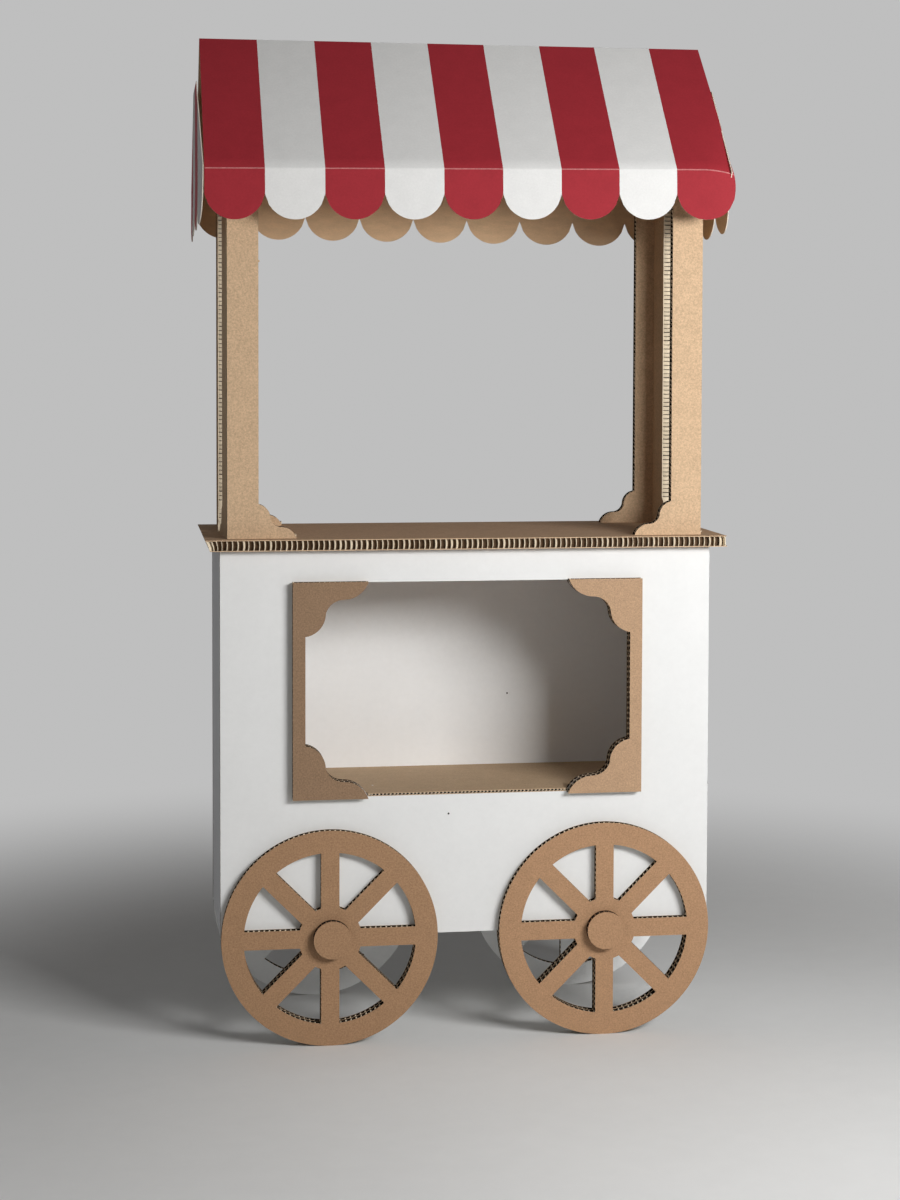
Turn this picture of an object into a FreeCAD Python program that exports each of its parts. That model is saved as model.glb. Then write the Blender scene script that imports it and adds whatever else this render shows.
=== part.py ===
"""Cardboard display stand in the form of a market cart: a white box body with a window and a
shelf, half-wheel feet with kraft wheels on the front, a honeycomb table board, four L-shaped
posts and a striped folded awning. Millimetres, X to the right, Y to the back, Z up, origin on
the floor under the middle of the stand."""

import FreeCAD, Part
import math
import os
import re

import Sketcher

doc = FreeCAD.newDocument("cart_stand")
sheet = doc.addObject("Spreadsheet::Sheet", "sheet")

SIZES = {
    "wall_board": 11.0,
    "trim_board": 12.0,
    "thick_board": 16.0,
    "shelf_board": 4.0,
    "card": 2.0,
    "body_width": 720.0,
    "body_base": 157.0,
    "body_top": 720.0,
    "front_face": -130.85,
    "wheel_radius": 157.0,
    "wheel_inset": 0.5,
    "rim_inner": 125.0,
    "hub_radius": 46.0,
    "spoke_width": 26.5,
    "spoke_count": 8,
    "disc_radius": 27.5,
    "left_disc_shift": 2.5,
    "bracket_half": 256.5,
    "bracket_leg": 18.0,
    "bracket_base": 359.0,
    "bracket_height": 315.0,
    "window_lip": 1.5,
    "round_reach": 36.0,
    "round_rise": 25.5,
    "cove_reach": 26.0,
    "cove_rise": 19.5,
    "heel_reach": 29.5,
    "heel_rise": 33.5,
    "tongue_gap": 14.0,
    "shelf_slope": 1.9,
    "table_end_lap": 32.5,
    "table_front_lap": 16.5,
    "table_back_lap": 23.0,
    "post_width": 45.0,
    "post_depth": 62.0,
    "post_height": 556.0,
    "post_inset": 9.5,
    "back_post_inset": 2.5,
    "left_back_post_shift": 4.0,
    "foot_round_reach": 22.0,
    "foot_round_rise": 16.5,
    "foot_cove_reach": 15.5,
    "foot_cove_rise": 12.5,
    "foot_heel_reach": 17.2,
    "foot_heel_rise": 20.5,
    "side_round_reach": 16.0,
    "side_round_rise": 14.0,
    "side_cove_reach": 11.0,
    "side_cove_rise": 11.0,
    "side_heel_reach": 13.0,
    "side_heel_rise": 17.5,
    "rail_height": 40.0,
    "gable_half": 95.0,
    "gable_drop": 22.0,
    "eave_drop": 34.5,
    "awning_overhang": 33.5,
    "roof_overhang": 20.75,
    "roof_rise": 209.0,
    "roof_tilt": 3.0,
    "scallop_width": 85.0,
    "scallop_rise": 36.0,
    "front_scallops": 9,
    "side_scallops": 4,
    "valance_band": 36.7,
    "side_band": 49.0,
    "side_top": 136.0,
}

# Positions that follow from the sizes: every piece takes them from here.
PLACES = {
    "awning_half": "scallop_width * front_scallops / 2",
    "post_half": "awning_half - awning_overhang",
    "table_half": "post_half + table_end_lap",
    "wheel_spread": "body_width / 2 - wheel_radius - wheel_inset",
    "roof_half": "scallop_width * side_scallops / 2",
    "body_depth": "2 * (roof_half - roof_overhang) - table_front_lap - table_back_lap",
    "front_inner": "front_face + wall_board",
    "back_face": "front_face + body_depth",
    "back_inner": "back_face - wall_board",
    "side_inner": "body_width / 2 - wall_board",
    "table_front": "front_face - table_front_lap",
    "table_back": "back_face + table_back_lap",
    "table_face": "body_top + thick_board",
    "window_half": "bracket_half - bracket_leg",
    "bracket_top": "bracket_base + bracket_height",
    "window_base": "bracket_base + window_lip",
    "window_top": "bracket_top - window_lip",
    "corner_reach": "round_reach + cove_reach + heel_reach",
    "corner_rise": "round_rise + cove_rise + heel_rise",
    "tongue_half": "window_half - corner_reach - tongue_gap",
    "post_front": "front_face + post_inset",
    "post_back": "back_face + back_post_inset",
    "post_inner": "post_half - post_width",
    "post_top": "table_face + post_height",
    "eave_height": "post_top - eave_drop",
    "roof_middle": "(table_front + table_back) / 2",
    "roof_slope": "sqrt(roof_half ^ 2 + roof_rise ^ 2)",
    "ridge_inset": "card * roof_slope / roof_half",
    "eave_inset": "card * (roof_slope - roof_rise) / roof_half",
    "scallop_radius": "(scallop_rise ^ 2 + scallop_width ^ 2 / 4) / (2 * scallop_rise)",
}


def cells(text):
    """Expression in cells of the sheet for a text in names of sizes and places."""
    def swap(match):
        word = match.group(0)
        if word in PLACES:
            return f"({cells(PLACES[word])})"
        return "sheet." + word if word in SIZES else word

    return re.sub(r"[a-z_]+", swap, text)


def number(text):
    return float(sheet.evalExpression(cells(text)))


def bind(item, path, text):
    item.setExpression(path, cells(text))


for row, (alias, value) in enumerate(SIZES.items(), start=1):
    sheet.set(f"A{row}", alias)
    sheet.set(f"B{row}", str(value))
    sheet.setAlias(f"B{row}", alias)
doc.recompute()

# Ways a flat piece, drawn in its own XY plane and raised along Z, stands in the cart. The plane
# faces the front or the back, or it runs from front to back on the right or the left side.
FACING_FRONT = FreeCAD.Rotation(FreeCAD.Vector(1, 0, 0), 90)
HALF_TURN = FreeCAD.Rotation(FreeCAD.Vector(0, 0, 1), 180)
FACING_BACK = HALF_TURN.multiply(FACING_FRONT)
RUNNING_BACK = FreeCAD.Rotation(FreeCAD.Vector(1, 1, 1), 120)
RUNNING_FORWARD = HALF_TURN.multiply(RUNNING_BACK)
UPRIGHT = FreeCAD.Rotation()


def place(item, rotation, x, y, z):
    item.Placement = FreeCAD.Placement(FreeCAD.Vector(), rotation)
    bind(item, ".Placement.Base.x", x)
    bind(item, ".Placement.Base.y", y)
    bind(item, ".Placement.Base.z", z)


def tip_back(item, degrees, x, y, z):
    """Place a piece and turn it about the X axis: the front goes up for a positive angle."""
    place(item, FreeCAD.Rotation(FreeCAD.Vector(-1, 0, 0), number(degrees)), x, y, z)
    bind(item, ".Placement.Rotation.Angle", degrees)


def board(name, x, y, z):
    """Plain rectangular board; x, y and z are pairs of its two faces."""
    item = doc.addObject("Part::Box", name)
    item.Label = name
    bind(item, "Length", f"({x[1]}) - ({x[0]})")
    bind(item, "Width", f"({y[1]}) - ({y[0]})")
    bind(item, "Height", f"({z[1]}) - ({z[0]})")
    place(item, UPRIGHT, x[0], y[0], z[0])


def new_body(name):
    body = doc.addObject("PartDesign::Body", name)
    body.Label = name
    return body


def new_sketch(body, name, plane="XY_Plane", shift_x="0", shift_y="0", shift_z="0"):
    """Sketch on a plane of the body's own origin, moved within and off that plane."""
    sketch = body.newObject("Sketcher::SketchObject", f"{body.Name}_{name}")
    role = [item for item in body.Origin.OriginFeatures if item.Role == plane][0]
    sketch.AttachmentSupport = [(role, "")]
    sketch.MapMode = "FlatFace"
    bind(sketch, ".AttachmentOffset.Base.x", shift_x)
    bind(sketch, ".AttachmentOffset.Base.y", shift_y)
    bind(sketch, ".AttachmentOffset.Base.z", shift_z)
    return sketch


def arc_between(start, end, radius, turn):
    """Short arc between two points; its centre lies left of the way there where turn is 1."""
    chord = end - start
    left = FreeCAD.Vector(-chord.y, chord.x, 0).normalize()
    reach = math.sqrt(max(radius ** 2 - chord.Length ** 2 / 4, 0.0))
    middle = (start + end) * 0.5
    crown = middle + left * turn * (reach - radius)
    return Part.Arc(start, crown, end)


def outline(sketch, corners):
    """Closed outline. A corner is (x, y), or (x, y, radius, turn) where an arc leaves it."""
    points = [FreeCAD.Vector(number(corner[0]), number(corner[1]), 0) for corner in corners]
    pieces = []
    for index, corner in enumerate(corners):
        start, end = points[index], points[(index + 1) % len(points)]
        if len(corner) == 2:
            pieces.append((sketch.addGeometry(Part.LineSegment(start, end), False), 1, 2))
            continue
        arc = arc_between(start, end, number(corner[2]), corner[3])
        piece = sketch.addGeometry(arc, False)
        in_order = (sketch.getPoint(piece, 1) - start).Length < (sketch.getPoint(piece, 2) - start).Length
        pieces.append((piece, 1, 2) if in_order else (piece, 2, 1))
    for index, (piece, first, last) in enumerate(pieces):
        follower, follower_first, _ = pieces[(index + 1) % len(pieces)]
        joint = Sketcher.Constraint("Coincident", piece, last, follower, follower_first)
        sketch.addConstraint(joint)
        for kind, value, text in zip(("DistanceX", "DistanceY"), points[index], corners[index]):
            constraint = sketch.addConstraint(Sketcher.Constraint(kind, piece, first, value))
            bind(sketch, f"Constraints[{constraint}]", text)
        if len(corners[index]) > 2:
            set_radius(sketch, piece, corners[index][2])


def set_radius(sketch, piece, radius):
    constraint = sketch.addConstraint(Sketcher.Constraint("Radius", piece, number(radius)))
    bind(sketch, f"Constraints[{constraint}]", radius)


def circle(sketch, radius):
    ring = Part.Circle(FreeCAD.Vector(), FreeCAD.Vector(0, 0, 1), number(radius))
    piece = sketch.addGeometry(ring, False)
    sketch.addConstraint(Sketcher.Constraint("Coincident", piece, 3, -1, 1))
    set_radius(sketch, piece, radius)


def pad(body, sketch, depth, both_ways=False):
    feature = body.newObject("PartDesign::Pad", f"{sketch.Name}_pad")
    feature.Profile = sketch
    feature.Midplane = both_ways
    bind(feature, "Length", depth)
    body.Tip = feature
    return feature


def pocket(body, sketch):
    feature = body.newObject("PartDesign::Pocket", f"{sketch.Name}_cut")
    feature.Profile = sketch
    feature.Type = 1
    feature.Midplane = True
    body.Tip = feature
    return feature


def turned_copies(body, feature, sketch, count, sweep):
    pattern = body.newObject("PartDesign::PolarPattern", f"{feature.Name}_turned")
    pattern.Originals = [feature]
    pattern.Axis = (sketch, ["N_Axis"])
    pattern.Reversed = True
    bind(pattern, "Angle", sweep)
    bind(pattern, "Occurrences", count)
    body.Tip = pattern


def row_copies(body, feature, sketch, count):
    pattern = body.newObject("PartDesign::LinearPattern", f"{feature.Name}_row")
    pattern.Originals = [feature]
    pattern.Direction = (sketch, ["H_Axis"])
    bind(pattern, "Length", f"scallop_width * ({count} - 1)")
    bind(pattern, "Occurrences", count)
    body.Tip = pattern


def rectangle(x0, x1, y0, y1):
    return [(x0, y0), (x1, y0), (x1, y1), (x0, y1)]


def backwards(corners):
    """The same outline walked the other way round."""
    out = []
    for index in range(len(corners) - 1, -1, -1):
        arc = corners[index - 1][2:] if index else ()
        out.append(corners[index][:2] + ((arc[0], -arc[1]) if arc else ()))
    return out


def mirrored(corners):
    """The same outline on the other side of x = 0."""
    return [(f"-({x})", y) + ((arc[0], -arc[1]) if arc else ()) for x, y, *arc in corners]


def level_radius(reach, rise):
    """Radius of an arc that is level at one end and covers reach across and rise upward."""
    return f"(({reach}) ^ 2 + ({rise}) ^ 2) / (2 * ({rise}))"


def upright_radius(reach, rise):
    """Radius of an arc that is upright at one end and covers reach across and rise upward."""
    return f"(({reach}) ^ 2 + ({rise}) ^ 2) / (2 * ({reach}))"


def window_side(base, top, lip):
    """Right edge of the window, from its lower ornament's tip up to its upper one's."""
    tip = "window_half - corner_reach"
    cove = "window_half - heel_reach - cove_reach"
    heel = "window_half - heel_reach"
    tip_arc = level_radius("round_reach", f"round_rise - {lip}")
    cove_arc = level_radius("cove_reach", "cove_rise")
    heel_arc = upright_radius("heel_reach", "heel_rise")
    return [
        (tip, base, tip_arc, -1),
        (cove, "bracket_base + round_rise", cove_arc, 1),
        (heel, "bracket_base + round_rise + cove_rise", heel_arc, -1),
        ("window_half", "bracket_base + corner_rise"),
        ("window_half", "bracket_top - corner_rise", heel_arc, -1),
        (heel, "bracket_top - round_rise - cove_rise", cove_arc, 1),
        (cove, "bracket_top - round_rise", tip_arc, -1),
        (tip, top),
    ]


def spoke_opening(sketch):
    """Opening between the spoke along +X and the next one below it."""
    half = number("spoke_width / 2")
    step = math.radians(number("360 / spoke_count"))
    rim, hub = number("rim_inner"), number("hub_radius")
    centre, normal = FreeCAD.Vector(), FreeCAD.Vector(0, 0, 1)
    arcs = []
    for name, radius in (("rim_inner", rim), ("hub_radius", hub)):
        lean = math.asin(half / radius)
        arc = Part.ArcOfCircle(Part.Circle(centre, normal, radius), lean - step, -lean)
        piece = sketch.addGeometry(arc, False)
        sketch.addConstraint(Sketcher.Constraint("Coincident", piece, 3, -1, 1))
        set_radius(sketch, piece, name)
        arcs.append((piece, arc))
    (outer_piece, outer), (inner_piece, inner) = arcs
    lower = sketch.addGeometry(Part.LineSegment(inner.StartPoint, outer.StartPoint), False)
    upper = sketch.addGeometry(Part.LineSegment(inner.EndPoint, outer.EndPoint), False)
    for line, end in ((lower, 1), (upper, 2)):
        sketch.addConstraint(Sketcher.Constraint("Coincident", line, 1, inner_piece, end))
        sketch.addConstraint(Sketcher.Constraint("Coincident", line, 2, outer_piece, end))
    sketch.addConstraint(Sketcher.Constraint("Horizontal", upper))
    drop = sketch.addConstraint(Sketcher.Constraint("DistanceY", upper, 1, -half))
    bind(sketch, f"Constraints[{drop}]", "-spoke_width / 2")
    slant = sketch.addConstraint(Sketcher.Constraint("Angle", lower, -step))
    bind(sketch, f"Constraints[{slant}]", "-360 deg / spoke_count")
    gap = sketch.addConstraint(Sketcher.Constraint("Distance", -1, 1, lower, half))
    bind(sketch, f"Constraints[{gap}]", "spoke_width / 2")


def make_panel(name, y, has_window):
    """White wall of the body in one piece with its two half-wheel feet."""
    body = new_body(name)
    wall = new_sketch(body, "wall")
    outline(wall, rectangle("-body_width / 2", "body_width / 2", "body_base", "body_top"))
    pad(body, wall, "wall_board")
    for side, x in (("left", "-wheel_spread"), ("right", "wheel_spread")):
        foot = new_sketch(body, f"foot_{side}", shift_x=x, shift_y="wheel_radius")
        circle(foot, "wheel_radius")
        pad(body, foot, "wall_board")
        gap = new_sketch(body, f"gap_{side}", shift_x=x, shift_y="wheel_radius")
        spoke_opening(gap)
        cut = pocket(body, gap)
        turned_copies(body, cut, gap, "spoke_count / 2", "180 - 360 / spoke_count")
    if has_window:
        window = new_sketch(body, "window")
        right = window_side("window_base", "window_top", "window_lip")
        outline(window, right + mirrored(backwards(right)))
        pocket(body, window)
    place(body, FACING_FRONT, "0", y, "0")


def make_wheel(name, x):
    body = new_body(name)
    disc = new_sketch(body, "rim")
    circle(disc, "wheel_radius")
    pad(body, disc, "trim_board")
    gap = new_sketch(body, "gap")
    spoke_opening(gap)
    cut = pocket(body, gap)
    turned_copies(body, cut, gap, "spoke_count", "360")
    place(body, FACING_FRONT, x, "front_face", "wheel_radius")


def make_hub_disc(name, x):
    body = new_body(name)
    disc = new_sketch(body, "disc")
    circle(disc, "disc_radius")
    pad(body, disc, "trim_board")
    place(body, FACING_FRONT, x, "front_face - trim_board", "wheel_radius")


def make_plate(name, corners, depth, rotation, x, y, z):
    """Flat piece cut from board to an outline."""
    body = new_body(name)
    sketch = new_sketch(body, "outline")
    outline(sketch, corners)
    pad(body, sketch, depth)
    place(body, rotation, x, y, z)


def post_outline(width, prefix):
    """Leg of a post with its curved foot, drawn from the leg's outer edge at x = 0 to the left."""
    reach = [f"{prefix}{part}_reach" for part in ("heel", "cove", "round")]
    rise = [f"{prefix}{part}_rise" for part in ("round", "cove", "heel")]
    heel = f"-({width} + {reach[0]})"
    cove = f"-({width} + {reach[0]} + {reach[1]})"
    tip = f"-({width} + {reach[0]} + {reach[1]} + {reach[2]})"
    return [
        ("0", "0"),
        ("0", "post_height"),
        (f"-{width}", "post_height"),
        (f"-{width}", " + ".join(rise), upright_radius(reach[0], rise[2]), 1),
        (heel, " + ".join(rise[:2]), level_radius(reach[1], rise[1]), -1),
        (cove, rise[0], level_radius(reach[2], rise[0]), 1),
        (tip, "0"),
    ]


def scallop():
    """One scallop with a strip that runs into the band above it, drawn round x = 0."""
    half = "scallop_width / 2"
    return [
        (f"-{half}", "0", "scallop_radius", 1),
        (half, "0"),
        (half, "scallop_rise / 2"),
        (f"-{half}", "scallop_rise / 2"),
    ]


def make_awning():
    """Striped card sheet: two roof slopes and a scalloped valance at each eave."""
    body = new_body("awning")
    section = new_sketch(body, "section", "YZ_Plane")
    outline(section, [
        ("-roof_half", "-valance_band"),
        ("-roof_half + card", "-valance_band"),
        ("-roof_half + card", "-eave_inset"),
        ("0", "roof_rise - ridge_inset"),
        ("roof_half - card", "-eave_inset"),
        ("roof_half - card", "-valance_band"),
        ("roof_half", "-valance_band"),
        ("roof_half", "0"),
        ("0", "roof_rise"),
        ("-roof_half", "0"),
    ])
    pad(body, section, "2 * awning_half", True)
    for side, y in (("front", "roof_half - card"), ("back", "-roof_half")):
        first = "-awning_half + scallop_width / 2"
        sketch = new_sketch(body, f"scallop_{side}", "XZ_Plane", first, "-valance_band", y)
        outline(sketch, scallop())
        feature = pad(body, sketch, "card")
        row_copies(body, feature, sketch, "front_scallops")
    tip_back(body, "roof_tilt", "0", "roof_middle", "eave_height")


def make_side_flap(name, x):
    """Flap that closes the lower part of the gable, scalloped along its hem."""
    body = new_body(name)
    top_half = "roof_half * (1 - side_top / roof_rise)"
    sheet_sketch = new_sketch(body, "outline", "YZ_Plane")
    outline(sheet_sketch, [
        ("-roof_half", "-side_band"),
        ("roof_half", "-side_band"),
        ("roof_half", "0"),
        (top_half, "side_top"),
        (f"-{top_half}", "side_top"),
        ("-roof_half", "0"),
    ])
    pad(body, sheet_sketch, "card")
    hem = new_sketch(body, "scallop", "YZ_Plane", "-roof_half + scallop_width / 2", "-side_band")
    outline(hem, scallop())
    feature = pad(body, hem, "card")
    row_copies(body, feature, hem, "side_scallops")
    tip_back(body, "roof_tilt", x, "roof_middle", "eave_height")


def make_gable(name, x):
    """Board under the roof that stands against the posts' side legs and carries the awning."""
    body = new_body(name)
    sketch = new_sketch(body, "outline", "YZ_Plane")
    shoulder = "(roof_rise - ridge_inset) - gable_half * roof_rise / roof_half"
    outline(sketch, [
        ("-gable_half", "-gable_drop"),
        ("gable_half", "-gable_drop"),
        ("gable_half", shoulder),
        ("0", "roof_rise - ridge_inset"),
        ("-gable_half", shoulder),
    ])
    pad(body, sketch, "thick_board")
    tip_back(body, "roof_tilt", x, "roof_middle", "eave_height")


def make_shelf():
    """Thin board inside the body whose tongue lies on the window's lower edge."""
    body = new_body("shelf")
    sketch = new_sketch(body, "outline")
    back = "(back_inner - front_inner - shelf_board * sin(shelf_slope)) / cos(shelf_slope)"
    outline(sketch, [
        ("-tongue_half", "-wall_board"),
        ("tongue_half", "-wall_board"),
        ("tongue_half", "0"),
        ("side_inner", "0"),
        ("side_inner", back),
        ("-side_inner", back),
        ("-side_inner", "0"),
        ("-tongue_half", "0"),
    ])
    pad(body, sketch, "shelf_board")
    tip_back(body, "shelf_slope", "0", "front_inner", "window_base")


make_panel("front_panel", "front_inner", True)
make_panel("back_panel", "back_face", False)
inside = ("front_inner", "back_inner")
board("side_panel_left", ("-body_width / 2", "-side_inner"), inside, ("body_base", "body_top"))
board("side_panel_right", ("side_inner", "body_width / 2"), inside, ("body_base", "body_top"))
board("bottom_panel", ("-side_inner", "side_inner"), inside, ("body_base", "body_base + wall_board"))
make_shelf()
board("table_top", ("-table_half", "table_half"), ("table_front", "table_back"), ("body_top", "table_face"))

edge = [("bracket_half", "bracket_base"), ("bracket_half", "bracket_top")]
edge += backwards(window_side("bracket_base", "bracket_top", "0"))
make_plate("window_bracket_right", edge, "trim_board", FACING_FRONT, "0", "front_face", "0")
make_plate("window_bracket_left", edge, "trim_board", FACING_BACK, "0", "front_face - trim_board", "0")

make_wheel("wheel_left", "-wheel_spread")
make_wheel("wheel_right", "wheel_spread")
make_hub_disc("hub_disc_left", "-wheel_spread + left_disc_shift")
make_hub_disc("hub_disc_right", "wheel_spread")

face_leg = post_outline("post_width", "foot_")
side_leg = post_outline("post_depth", "side_")
corner_shift = {"front_left": "0", "front_right": "0", "back_left": "left_back_post_shift", "back_right": "0"}
for corner, shift in corner_shift.items():
    is_front = corner.startswith("front")
    is_left = corner.endswith("left")
    face = "post_front" if is_front else "post_back - thick_board"
    turn = FACING_BACK if is_left else FACING_FRONT
    x = f"-post_half - {shift}" if is_left else "post_half"
    y = face if is_left else f"{face} + thick_board"
    make_plate(f"post_{corner}_face", face_leg, "thick_board", turn, x, y, "table_face")
    turn = RUNNING_FORWARD if is_front else RUNNING_BACK
    x = f"-post_half - {shift}" if is_left else "post_half - thick_board"
    x = f"{x} + thick_board" if is_front else x
    y = f"{face} + thick_board" if is_front else face
    make_plate(f"post_{corner}_side", side_leg, "thick_board", turn, x, y, "table_face")

between_posts = ("-post_inner", "post_inner")
rail = ("post_top - rail_height", "post_top")
board("top_rail_front", between_posts, ("post_front", "post_front + thick_board"), rail)
board("top_rail_back", between_posts, ("post_back - thick_board", "post_back"), rail)
make_gable("gable_left", "-post_half + thick_board")
make_gable("gable_right", "post_half - 2 * thick_board")
make_awning()
make_side_flap("side_flap_left", "-awning_half - card")
make_side_flap("side_flap_right", "awning_half")

doc.recompute()
os.makedirs("parts", exist_ok=True)
pieces = [item for item in doc.Objects if item.TypeId in ("PartDesign::Body", "Part::Box")]
for item in doc.Objects:
    if "Invalid" in item.State or "Error" in item.State:
        raise RuntimeError(f"{item.Name} did not recompute")
for piece in pieces:
    if not piece.Shape.isValid() or len(piece.Shape.Solids) != 1:
        raise RuntimeError(f"{piece.Label} is not one valid solid")
    piece.Shape.exportStep(f"parts/{piece.Label}.step")
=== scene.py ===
import math
import random

import bpy
from mathutils import Matrix, Vector
from mathutils.geometry import tessellate_polygon


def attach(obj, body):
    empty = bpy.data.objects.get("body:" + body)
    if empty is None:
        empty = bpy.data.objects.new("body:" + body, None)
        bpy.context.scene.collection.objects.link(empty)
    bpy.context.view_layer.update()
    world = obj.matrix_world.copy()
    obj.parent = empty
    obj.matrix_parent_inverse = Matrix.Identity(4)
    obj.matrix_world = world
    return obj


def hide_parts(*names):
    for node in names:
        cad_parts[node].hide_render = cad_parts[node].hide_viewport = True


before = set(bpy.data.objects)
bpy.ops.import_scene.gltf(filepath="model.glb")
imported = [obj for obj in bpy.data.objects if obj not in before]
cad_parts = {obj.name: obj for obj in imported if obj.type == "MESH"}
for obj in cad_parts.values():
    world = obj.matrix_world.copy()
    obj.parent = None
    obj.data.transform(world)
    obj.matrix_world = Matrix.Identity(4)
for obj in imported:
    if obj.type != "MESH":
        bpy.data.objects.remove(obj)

bl_info = {
    "name": "Cardboard cart stand",
    "version": (1, 0, 0),
    "blender": (4, 5, 0),
    "location": "View3D > Sidebar > Cart stand",
    "description": "Builds the boards, awning and studio of a cardboard market-cart stand",
    "category": "Add Mesh",
}

# Places in the stand's frame, in metres: x to the right, y to the back, z up
FRONT = -0.13085  # outer face of the front panel
BACK = 0.12815  # outer face of the back panel
BODY_TOP = 0.72
TABLE_Z = 0.736
ROOF_Y = 0.0019
EAVE_Z = 1.2575
TILT = math.radians(3.0)

# The wheels' hubs are as high as their radius, and so is the body's lower edge
HUB_X = 0.2025
WHEEL_RADIUS = 0.157

WINDOW_BASE, WINDOW_TOP, WINDOW_HALF = 0.359, 0.674, 0.2385
WINDOW_LIP = 0.0015
BRACKET_HALF = 0.2565

# Half the roof's depth, the ridge's height over the eaves, and half the awning's width
ROOF_HALF, ROOF_RISE = 0.17, 0.209
AWNING_HALF = 0.3825
STRIPES = 9

# Cut edges of the wheels and brackets
THIN_LINER = 0.0008
THIN_CELLS = {"Thickness": 0.0016}

# Material numbers of a board, whose last number is painted shade inside the cut cells, and of a card
# sheet, where OTHER is a crease or the second print
FACE, REVERSE, LINER_EDGE, WALL, CELL_SHADE = range(5)
PRINT, INSIDE, RIM, OTHER = range(4)


# Materials

def feed(tree, target, value):
    """Links an output to an input socket, or sets the socket to a plain value."""
    if isinstance(value, bpy.types.NodeSocket):
        tree.links.new(value, target)
    else:
        target.default_value = value


def node(tree, kind, x, y, inputs=None, **values):
    """New node at (x, y); inputs gives sockets, by name or number, a link or a value."""
    item = tree.nodes.new(kind)
    item.location = (x, y)
    for key, value in values.items():
        setattr(item, key, value)
    for key, value in (inputs or {}).items():
        feed(tree, item.inputs[key], value)
    return item


def maths(tree, operation, x, y, a, b):
    """Output of a math node over two links or numbers."""
    return node(tree, "ShaderNodeMath", x, y, {0: a, 1: b}, operation=operation).outputs[0]


def paper(name, color, rough, mottle, fibre, scale, bump, stretch=(1, 1, 1)):
    """Board or card: faint broad clouds, a sandy grain in the colour and a slight tooth.

    mottle and fibre are how far the clouds and the grain change the tone.
    """
    mat = bpy.data.materials.new(name)
    mat.use_nodes = True
    mat.diffuse_color = (*color, 1.0)
    tree = mat.node_tree
    tree.nodes.clear()
    coords = node(tree, "ShaderNodeTexCoord", -1100, 0)
    stretched = node(tree, "ShaderNodeMapping", -900, 0, {
        "Vector": coords.outputs["Object"], "Scale": stretch,
    }).outputs[0]
    clouds = node(tree, "ShaderNodeTexNoise", -650, 200, {
        "Vector": stretched, "Scale": scale, "Detail": 5.0,
    }).outputs[0]
    fibres = node(tree, "ShaderNodeTexNoise", -650, -100, {
        "Vector": stretched, "Scale": scale * 8, "Detail": 3.0, "Roughness": 0.7,
    }).outputs[0]
    tone = color
    for noise, swing, y in ((clouds, mottle, 200), (fibres, fibre, -60)):
        band = node(tree, "ShaderNodeMapRange", -420, y, {
            "Value": noise, "From Min": 0.3, "From Max": 0.7,
            "To Min": 1.0 - swing, "To Max": 1.0 + swing,
        }).outputs[0]
        tint = node(tree, "ShaderNodeVectorMath", -180, y, {0: tone, 1: band}, operation="MULTIPLY")
        tone = tint.outputs[0]
    tooth = node(tree, "ShaderNodeBump", 350, -300, {
        "Height": fibres, "Strength": bump, "Distance": 0.0004,
    }).outputs[0]
    shader = node(tree, "ShaderNodeBsdfPrincipled", 600, 0, {
        "Base Color": tone, "Normal": tooth, "Roughness": rough, "Specular IOR Level": 0.15,
    }).outputs[0]
    node(tree, "ShaderNodeOutputMaterial", 900, 0, {0: shader})
    return mat


def make_materials():
    grain = (0.85, 0.03, 0.22, 55, 0.35)  # of kraft board: roughness to bump
    return {
        "kraft": paper("kraft board", (0.374, 0.222, 0.124), *grain),
        # A brighter copy of the kraft board: painted light on the right wheel and its hub disc
        "kraft_wheel_painted_light": paper("kraft board with painted light on the right wheel", (0.43, 0.254, 0.143), *grain),
        # Darker and brighter copies of the kraft board: painted shade on the left bracket and painted
        # light on the right bracket
        "kraft_bracket_painted_shade": paper("kraft board with painted shade on the left bracket", (0.285, 0.183, 0.112), *grain),
        "kraft_bracket_painted_light": paper("kraft board with painted light on the right bracket", (0.46, 0.30, 0.185), *grain),
        "post": paper("post kraft board", (0.60, 0.42, 0.265), *grain),
        "tabletop": paper("table kraft", (0.45, 0.30, 0.19), 0.8, 0.04, 0.18, 50, 0.3),
        "shelf": paper("shelf kraft", (0.50, 0.36, 0.23), 0.8, 0.04, 0.15, 50, 0.3),
        "wall": paper("cell wall", (0.78, 0.66, 0.49), 0.9, 0.10, 0.12, 160, 0.4),
        # Painted shade: the two darkest colours stand in for the shade deep inside a board's cut
        # cells
        "shaded_core": paper("painted cell shade", (0.13, 0.082, 0.05), 0.95, 0.25, 0.2, 200, 0.2),
        "deep_shade": paper("painted deep cell shade", (0.025, 0.017, 0.012), 0.95, 0.25, 0.2, 200, 0.2),
        "liner": paper("liner edge", (0.64, 0.45, 0.29), 0.9, 0.15, 0.15, 200, 0.3),
        "white": paper("white board", (0.80, 0.80, 0.79), 0.55, 0.012, 0.012, 14, 0.08),
        # A brighter copy of the white board: painted light on the back panel's face seen through the
        # window
        "white_painted_light": paper("white board with painted light", (0.93, 0.93, 0.92), 0.55, 0.012, 0.012, 14, 0.08),
        # A darker, cooler copy of the white board: painted shade on the side panels
        "white_painted_shade": paper("white board with painted shade", (0.70, 0.70, 0.72), 0.6, 0.02, 0.02, 14, 0.1),
        "red": paper("red print", (0.335, 0.024, 0.034), 0.7, 0.04, 0.07, 45, 0.12),
        "crease": paper("cracked fold", (0.50, 0.17, 0.17), 0.8, 0.2, 0.3, 300, 0.2),
        "ivory": paper("white print", (0.75, 0.745, 0.73), 0.65, 0.02, 0.03, 45, 0.12),
        "inside": paper("card inside", (0.80, 0.55, 0.335), 0.85, 0.06, 0.06, 45, 0.2, (1, 1, 3)),
        "rim": paper("card rim", (0.74, 0.66, 0.56), 0.8, 0.10, 0.10, 120, 0.2),
        "speck": paper("dirt speck", (0.03, 0.025, 0.02), 0.9, 0.1, 0.1, 200, 0.1),
    }


# Outlines: closed loops of points with the board on the left of the way round

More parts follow.
